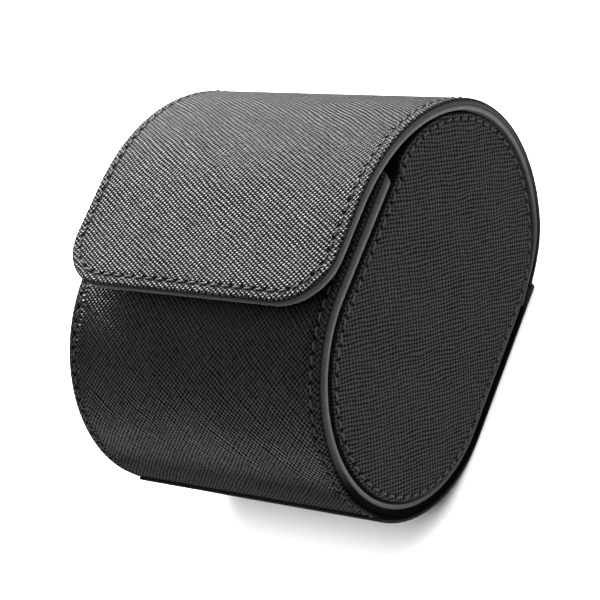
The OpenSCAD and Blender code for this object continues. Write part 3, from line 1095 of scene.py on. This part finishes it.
# ---------------------------------------------------------------- magnet pockets under the flap
def pocket(name, x, y):
    """A round boss of lining leather drawn over a magnet."""
    prof = [(7.6, 72.15), (7.45, 71.88), (7.1, 71.78), (6.75, 71.55), (6.55, 71.2), (6.45, 70.7), (6.40, 70.1)]
    for i in range(1, 6):
        a = math.pi / 2 * i / 5
        prof.append((6.40 - 0.9 * (1 - math.cos(a)), 70.1 - 0.9 * math.sin(a)))
    prof += [(4.4, 69.12), (2.2, 69.10)]
    sides = 48
    V, F = [], []
    for r, z in prof:
        for k in range(sides):
            w = 2 * math.pi * k / sides
            V.append((x + r * math.cos(w), y + r * math.sin(w), z))
    for j in range(len(prof) - 1):
        for k in range(sides):
            k2 = (k + 1) % sides
            F.append((j * sides + k, j * sides + k2, (j + 1) * sides + k2, (j + 1) * sides + k))
    last = (len(prof) - 1) * sides
    V.append((x, y, 69.10)); c = len(V) - 1
    V.append((x, y, 72.15)); d = len(V) - 1
    for k in range(sides):
        k2 = (k + 1) % sides
        F.append((last + k, last + k2, c))
        F.append((k2, k, d))
    ob = new_object(name, V, F, [M_SUEDE])
    outward(ob)
    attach(ob, "flap")


for tag, x in (("left", -22.0), ("right", 22.0)):
    pocket(f"magnet_pocket_{tag}", x, -8.0)

# ---------------------------------------------------------------- carried-over nodes
for name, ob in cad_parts.items():
    if "board" in name:
        mat = M_BOARD
    elif "foam" in name:
        mat = M_FOAM
    elif "plates" in name or "magnets" in name:
        mat = M_STEEL
    else:
        mat = M_SUEDE
    if not ob.data.materials:
        ob.data.materials.append(mat)
    for i in range(len(ob.data.materials)):
        ob.data.materials[i] = mat

# ---------------------------------------------------------------- floor, light
def stage_mesh(name, verts, faces, mat):
    ob = new_object(name, verts, faces, [mat], smooth=False)
    ob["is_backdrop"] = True
    return ob


M_FLOOR = simple_material("floor_paper", (0.86, 0.86, 0.86), (0.88, 0.88, 0.88), 30, rough=0.9, bump=0.0)
stage_mesh("floor", [(-1300, -1300, -0.02), (1300, -1300, -0.02), (1300, 1300, -0.02), (-1300, 1300, -0.02)], [(0, 1, 2, 3)], M_FLOOR)

bpy.data.objects["floor"].visible_glossy = False
world = bpy.data.worlds.new("studio")
bpy.context.scene.world = world
world.use_nodes = True
wt = world.node_tree
background = wt.nodes["Background"]
background.inputs["Color"].default_value = (1, 1, 1, 1)
sky = N(wt, "ShaderNodeSeparateXYZ")
wt.links.new(N(wt, "ShaderNodeTexCoord").outputs["Generated"], sky.inputs[0])
# pale round the horizon and behind the case, dark in front on the left
lift = ramp(wt, sky.outputs["Y"], 0.0, 0.8, 0.0, 0.28)
front = math_node(wt, "ADD", math_node(wt, "MULTIPLY", sky.outputs["X"], -0.6), math_node(wt, "MULTIPLY", sky.outputs["Y"], -0.8))
upper = ramp(wt, math_node(wt, "SUBTRACT", sky.outputs["Z"], lift), 0.05, 0.35, 1.15, 0.10)
upper = math_node(wt, "MULTIPLY", upper, ramp(wt, front, 0.64, 0.93, 1.0, 0.08))
# from below on the left, bright only in a stripe; on the right, bright all over
rise = ramp(wt, sky.outputs["Y"], -0.92, -0.55, 0.30, 1.75)
fall = ramp(wt, sky.outputs["Y"], -0.36, 0.05, 1.0, 0.02)
left = math_node(wt, "MULTIPLY", rise, fall)
share = ramp(wt, sky.outputs["X"], -0.10, 0.50)
lower = math_node(wt, "ADD", math_node(wt, "MULTIPLY", left, math_node(wt, "SUBTRACT", 1.0, share)),
                  math_node(wt, "MULTIPLY", share, 0.82))
below = ramp(wt, sky.outputs["Z"], -0.20, -0.07, 1.0, 0.0)
mixed = N(wt, "ShaderNodeMix", data_type="FLOAT")
wt.links.new(below, mixed.inputs["Factor"])
wt.links.new(upper, mixed.inputs["A"])
wt.links.new(lower, mixed.inputs["B"])
wt.links.new(mixed.outputs["Result"], background.inputs["Strength"])


def area_light(name, direction, distance, size, power, target=(0, 0, 0.035)):
    d = Vector(direction).normalized()
    light = bpy.data.lights.new(name, "AREA")
    light.shape = "RECTANGLE"
    light.size, light.size_y = size
    light.energy = power
    ob = bpy.data.objects.new(name, light)
    bpy.context.scene.collection.objects.link(ob)
    ob.location = Vector(target) + d * distance
    ob.rotation_euler = d.to_track_quat("Z", "Y").to_euler()
    return ob


area_light("softbox_rear", (-0.60, 0.72, 0.38), 0.80, (0.50, 0.35), 19.8)
overhead = area_light("softbox_overhead", (0.0, 0.05, 1.0), 1.3, (2.2, 2.2), 85.0)
overhead.visible_glossy = False

bpy.context.scene.view_settings.view_transform = "Standard"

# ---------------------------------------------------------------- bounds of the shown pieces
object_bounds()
